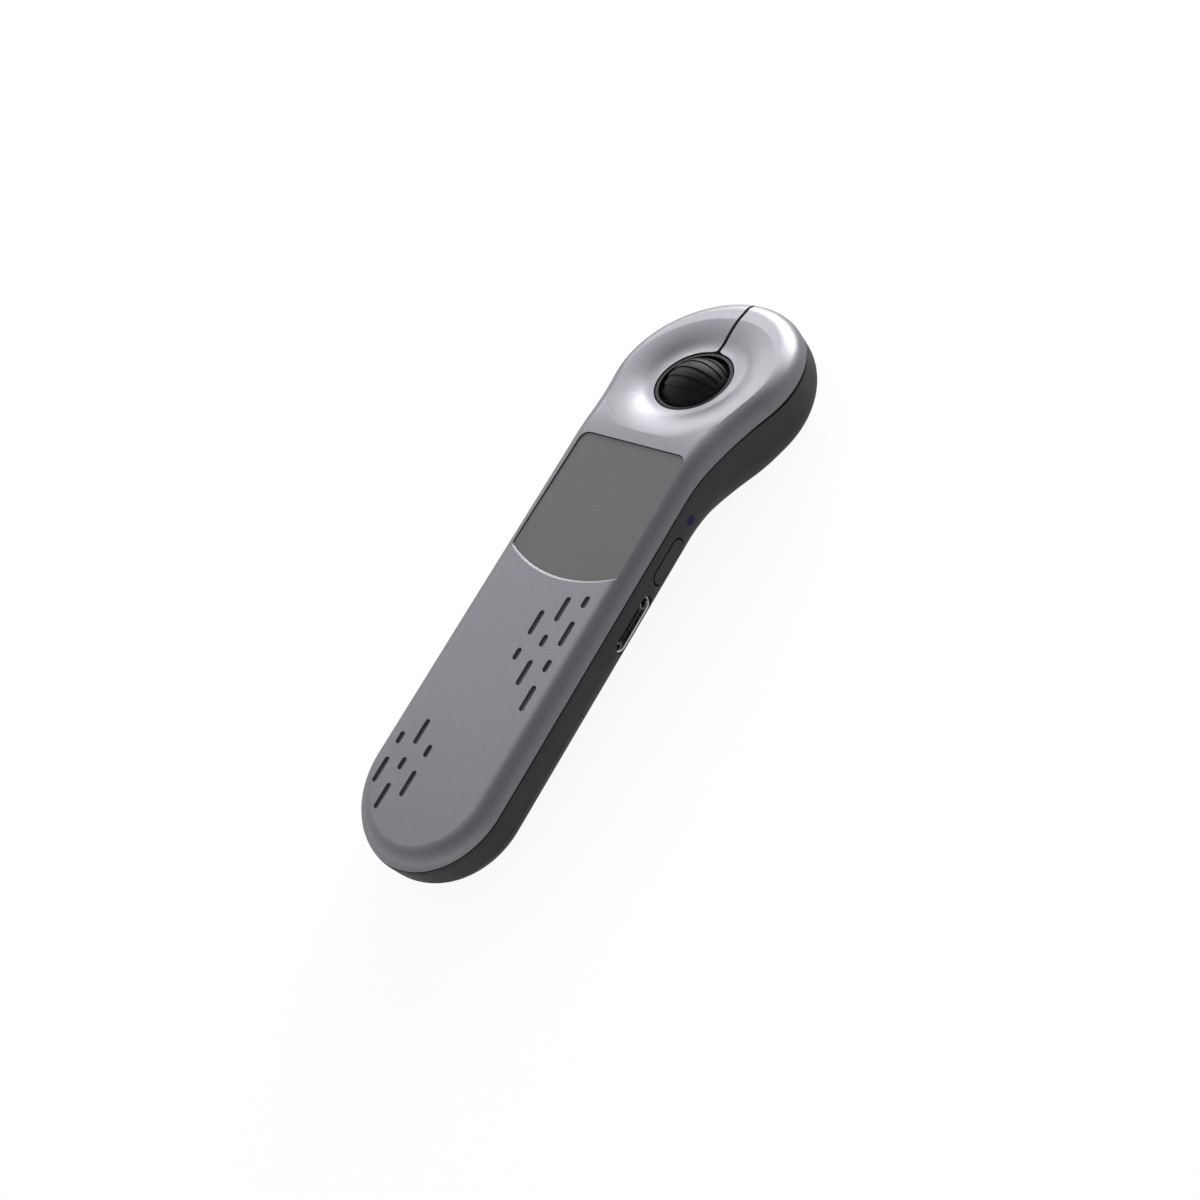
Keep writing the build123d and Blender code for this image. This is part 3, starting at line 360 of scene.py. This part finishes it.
def screwTree(look):  # pan head with a cross recess, and a shank as long as its point says
    tree, inputs = newTree("case_screw", {
        "Head Radius": "Float", "Head Height": "Float", "Shank Radius": "Float", "Cross Length": "Float",
        "Cross Width": "Float", "Cross Depth": "Float", "Tilt": "Float", "Material": "Material",
    })
    head = addNode(tree, "GeometryNodeMeshCylinder", {"Vertices": look["headSides"]}, {
        "Radius": inputs["Head Radius"], "Depth": inputs["Head Height"],
    })
    half = addNode(tree, "ShaderNodeMath", {"operation": "MULTIPLY", 1: 0.5}, {0: inputs["Head Height"]})
    lift = addNode(tree, "ShaderNodeCombineXYZ", links={2: half.outputs[0]})
    seated = addNode(tree, "GeometryNodeTransform", links={
        "Geometry": head.outputs[0], "Translation": lift.outputs[0],
    })
    depth = addNode(tree, "ShaderNodeMath", {"operation": "MULTIPLY", 1: 2.0}, {0: inputs["Cross Depth"]})
    cut = addNode(tree, "GeometryNodeMeshBoolean", {"operation": "DIFFERENCE"}, {0: seated.outputs[0]})
    for first, second in ((0, 1), (1, 0)):
        size = addNode(tree, "ShaderNodeCombineXYZ", links={
            first: inputs["Cross Length"], second: inputs["Cross Width"], 2: depth.outputs[0],
        })
        bar = addNode(tree, "GeometryNodeMeshCube", links={"Size": size.outputs[0]})
        tree.links.new(bar.outputs[0], cut.inputs[1])
    heads = addNode(tree, "GeometryNodeInstanceOnPoints", links={
        "Points": inputs["Geometry"], "Instance": cut.outputs[0],
    })
    rod = addNode(tree, "GeometryNodeMeshCylinder", {"Vertices": look["shankSides"], "Depth": 1.0}, {
        "Radius": inputs["Shank Radius"],
    })
    stood = addNode(tree, "GeometryNodeTransform", {"Translation": (0, 0, 0.5)}, {"Geometry": rod.outputs[0]})
    length = addNode(tree, "GeometryNodeInputNamedAttribute", {"data_type": "FLOAT", "Name": "shankLength"})
    scale = addNode(tree, "ShaderNodeCombineXYZ", {0: 1.0, 1: 1.0}, {2: length.outputs[0]})
    foot = addNode(tree, "ShaderNodeCombineXYZ", links={2: inputs["Head Height"]})
    raised = addNode(tree, "GeometryNodeSetPosition", links={
        "Geometry": inputs["Geometry"], "Offset": foot.outputs[0],
    })
    shanks = addNode(tree, "GeometryNodeInstanceOnPoints", links={
        "Points": raised.outputs[0], "Instance": stood.outputs[0], "Scale": scale.outputs[0],
    })
    both = addNode(tree, "GeometryNodeJoinGeometry")
    for part in (heads, shanks):
        tree.links.new(part.outputs[0], both.inputs[0])
    closeTree(tree, both.outputs[0], inputs)
    return tree


def caseScrews(look):
    points = handlePoints("case_screws")
    middle = sum(extent(points), Vector()) / 2
    spots, lengths = [], []
    for right in (False, True):
        for ahead in (False, True):
            own = [p for p in points if (p.x > middle.x) == right and (p.y > middle.y) == ahead]
            low, high = extent(own)
            spots.append(((low.x + high.x) / 2, (low.y + high.y) / 2, low.z))
            lengths.append(high.z - low.z - look["headHeightMm"] * mm)
    mesh = bpy.data.meshes.new("screw_spots")
    mesh.from_pydata(spots, [], [])
    mesh.attributes.new("shankLength", "FLOAT", "POINT").data.foreach_set("value", lengths)
    piece = grow("case_screws_cross_head", mesh, screwTree(look), {
        "Head Radius": look["headRadiusMm"] * mm, "Head Height": look["headHeightMm"] * mm,
        "Shank Radius": look["shankRadiusMm"] * mm, "Cross Length": look["crossMm"] * mm,
        "Cross Width": look["slotMm"] * mm, "Cross Depth": look["sunkMm"] * mm,
        "Tilt": handleTilt, "Material": materials["axle_steel"],
    })
    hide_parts("case_screws")
    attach(piece, "case")


def stripTree():  # a row of equal contact strips
    tree, inputs = newTree("contact_strips", {
        "Count": "Int", "Start": "Vector", "Step": "Vector", "Size": "Vector",
        "Tilt": "Float", "Material": "Material",
    })
    row = addNode(tree, "GeometryNodeMeshLine", links={
        "Count": inputs["Count"], "Start Location": inputs["Start"], "Offset": inputs["Step"],
    })
    strip = addNode(tree, "GeometryNodeMeshCube", links={"Size": inputs["Size"]})
    laid = addNode(tree, "GeometryNodeInstanceOnPoints", links={
        "Points": row.outputs[0], "Instance": strip.outputs[0],
    })
    closeTree(tree, laid.outputs[0], inputs)
    return tree


def stripRow(tree, name, body, count, start, step, size):
    piece = grow(name, bpy.data.meshes.new(name + "_seed"), tree, {
        "Count": count, "Start": start, "Step": step, "Size": size,
        "Tilt": handleTilt, "Material": materials["contact_gold"],
    })
    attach(piece, body)


socketStrips = {"count": 12, "pitchMm": 0.5, "widthMm": 0.26, "lengthMm": 2.6, "thickMm": 0.06, "endMm": 1.9}
plugStrips = {"count": 4, "pitchMm": 2.3, "widthMm": 1.1, "lengthMm": 7.0, "thickMm": 0.06, "endMm": 0.6}


def contactStrips(socket, plug):
    tree = stripTree()
    low, high = extent(handlePoints("usb_tongue"))
    middle = (low + high) / 2
    x = high.x - (socket["endMm"] + socket["lengthMm"] / 2) * mm
    y = middle.y - socket["pitchMm"] * mm * (socket["count"] - 1) / 2
    size = Vector((socket["lengthMm"], socket["widthMm"], socket["thickMm"])) * mm
    step = (0, socket["pitchMm"] * mm, 0)
    for name, z in (("usb_contacts_upper", high.z), ("usb_contacts_lower", low.z)):
        stripRow(tree, name, "case", socket["count"], (x, y, z), step, size)
    low, high = extent(handlePoints("receiver_usb_a_tongue"))
    x = (low.x + high.x) / 2 - plug["pitchMm"] * mm * (plug["count"] - 1) / 2
    y = high.y - (plug["endMm"] + plug["lengthMm"] / 2) * mm
    size = Vector((plug["widthMm"], plug["lengthMm"], plug["thickMm"])) * mm
    step = (plug["pitchMm"] * mm, 0, 0)
    stripRow(tree, "receiver_contacts", "receiver", plug["count"], (x, y, low.z), step, size)


caseScrews(screwLook)
contactStrips(socketStrips, plugStrips)
print("screws and contact strips built")


# Stage, light and camera

stageLook = {
    "floorMm": 6000, "gapMm": 0.02, "floor": "#f4f4f4", "roughness": 0.8, "shadeShare": 0.12,
    "fill": 0.42, "ceiling": 0.3, "lowSlope": 0.15, "highSlope": 0.85,
    "darkSide": (0.75, 0.66, 0.0), "darkWall": 0.55, "darkFrom": 0.1, "darkTo": 0.9,
    "floorGloss": 0.6, "floorGlow": 1.05,
}


def shownRays(tree):  # 1 for what the camera sees, straight or in a reflection
    rays = addNode(tree, "ShaderNodeLightPath").outputs
    seen = addNode(tree, "ShaderNodeMath", {"operation": "MAXIMUM"}, {
        0: rays["Is Camera Ray"], 1: rays["Is Glossy Ray"],
    })
    shown = addNode(tree, "ShaderNodeMath", {"operation": "MAXIMUM"}, {
        0: seen.outputs[0], 1: rays["Is Transmission Ray"],
    })
    return shown.outputs[0], rays["Is Camera Ray"]


def buildFloor(look):  # white paper sweep that keeps a faint shadow, and is clear from below
    mesh = bpy.data.meshes.new("floor")
    half, z = look["floorMm"] * mm / 2, -look["gapMm"] * mm
    corners = [(-half, -half, z), (half, -half, z), (half, half, z), (-half, half, z)]
    mesh.from_pydata(corners, [], [range(len(corners))])
    floor = bpy.data.objects.new("floor", mesh)
    scene.collection.objects.link(floor)
    material, tree, shader, place = newMaterial("matt_paper_sweep", {
        "Base Color": linear(look["floor"]), "Roughness": look["roughness"], "Specular IOR Level": 0.0,
    })
    shown, toCamera = shownRays(tree)
    strength = addNode(tree, "ShaderNodeMapRange", {
        3: look["floorGloss"], 4: look["floorGlow"],
    }, {0: toCamera})
    glow = addNode(tree, "ShaderNodeEmission", {"Color": (1, 1, 1, 1)}, {"Strength": strength.outputs[0]})
    share = addNode(tree, "ShaderNodeMath", {
        "operation": "MULTIPLY", 1: 1.0 - look["shadeShare"],
    }, {0: shown})
    mix = addNode(tree, "ShaderNodeMixShader", links={
        0: share.outputs[0], 1: shader.outputs["BSDF"], 2: glow.outputs[0],
    })
    output = next(node for node in tree.nodes if node.type == "OUTPUT_MATERIAL")
    below = addNode(tree, "ShaderNodeNewGeometry").outputs["Backfacing"]
    clear = addNode(tree, "ShaderNodeBsdfTransparent")
    sheet = addNode(tree, "ShaderNodeMixShader", links={
        0: below, 1: mix.outputs[0], 2: clear.outputs[0],
    })
    tree.links.new(sheet.outputs[0], output.inputs["Surface"])
    mesh.materials.append(material)


# White to the camera, darker above and beyond the nose's right in reflections, and dimmer as light
def buildWorld(look):
    world = bpy.data.worlds.new("studio")
    world.use_nodes = True
    tree = world.node_tree
    tree.nodes.clear()
    shown, toCamera = shownRays(tree)
    direction = addNode(tree, "ShaderNodeTexCoord").outputs["Generated"]
    way = addNode(tree, "ShaderNodeSeparateXYZ", links={0: direction})
    ceiling = addNode(tree, "ShaderNodeMapRange", {
        1: look["lowSlope"], 2: look["highSlope"], 3: 1.0, 4: look["ceiling"],
    }, {0: way.outputs["Z"]})
    side = {"operation": "DOT_PRODUCT", 1: look["darkSide"]}
    towards = addNode(tree, "ShaderNodeVectorMath", side, {0: direction}).outputs["Value"]
    wall = addNode(tree, "ShaderNodeMapRange", {
        1: look["darkFrom"], 2: look["darkTo"], 3: 1.0, 4: look["darkWall"],
    }, {0: towards})
    dimmed = addNode(tree, "ShaderNodeMath", {"operation": "MULTIPLY"}, {
        0: ceiling.outputs[0], 1: wall.outputs[0],
    })
    walls = addNode(tree, "ShaderNodeMath", {"operation": "MAXIMUM"}, {0: dimmed.outputs[0], 1: toCamera})
    level = addNode(tree, "ShaderNodeMapRange", {3: look["fill"]}, {0: shown, 4: walls.outputs[0]})
    sky = addNode(tree, "ShaderNodeBackground", {"Color": (1, 1, 1, 1)}, {"Strength": level.outputs[0]})
    addNode(tree, "ShaderNodeOutputWorld", links={"Surface": sky.outputs[0]})
    scene.world = world


lamps = {
    "noseBox": {"placeMm": (-130, 600, 180), "sizeMm": (460, 240), "watts": 3.3},
    "sideBox": {"placeMm": (-360, 460, 235), "sizeMm": (420, 160), "watts": 0.75},
    "leftBox": {"placeMm": (-430, 120, 480), "sizeMm": (460, 460), "watts": 0.6},
}


def buildLamps(table):
    target = (cadBox[0] + cadBox[1]) / 2
    for name, look in table.items():
        lamp = bpy.data.lights.new(name, "AREA")
        lamp.shape = "RECTANGLE"
        lamp.size, lamp.size_y = [v * mm for v in look["sizeMm"]]
        lamp.energy = look["watts"]
        lampObject = bpy.data.objects.new(name, lamp)
        lampObject.location = [v * mm for v in look["placeMm"]]
        way = Vector(target) - lampObject.location
        lampObject.rotation_euler = way.to_track_quat("-Z", "Y").to_euler()
        scene.collection.objects.link(lampObject)


cameraLook = {
    "placeMm": (183.2, -81.46, 206.41), "turnDeg": (37.238, 26.073, 36.487), "lensMm": 45, "sensorMm": 36,
    "nearMm": 10,
}


def buildCamera(look):
    camera = bpy.data.cameras.new("camera")
    camera.lens = look["lensMm"]
    camera.sensor_width = look["sensorMm"]
    camera.clip_start = look["nearMm"] * mm
    cameraObject = bpy.data.objects.new("camera", camera)
    cameraObject.location = [v * mm for v in look["placeMm"]]
    cameraObject.rotation_euler = [math.radians(v) for v in look["turnDeg"]]
    scene.collection.objects.link(cameraObject)
    scene.camera = cameraObject


buildFloor(stageLook)
buildWorld(stageLook)
buildLamps(lamps)
buildCamera(cameraLook)
scene.view_settings.view_transform = "Standard"
print("stage, lamps and camera ready")
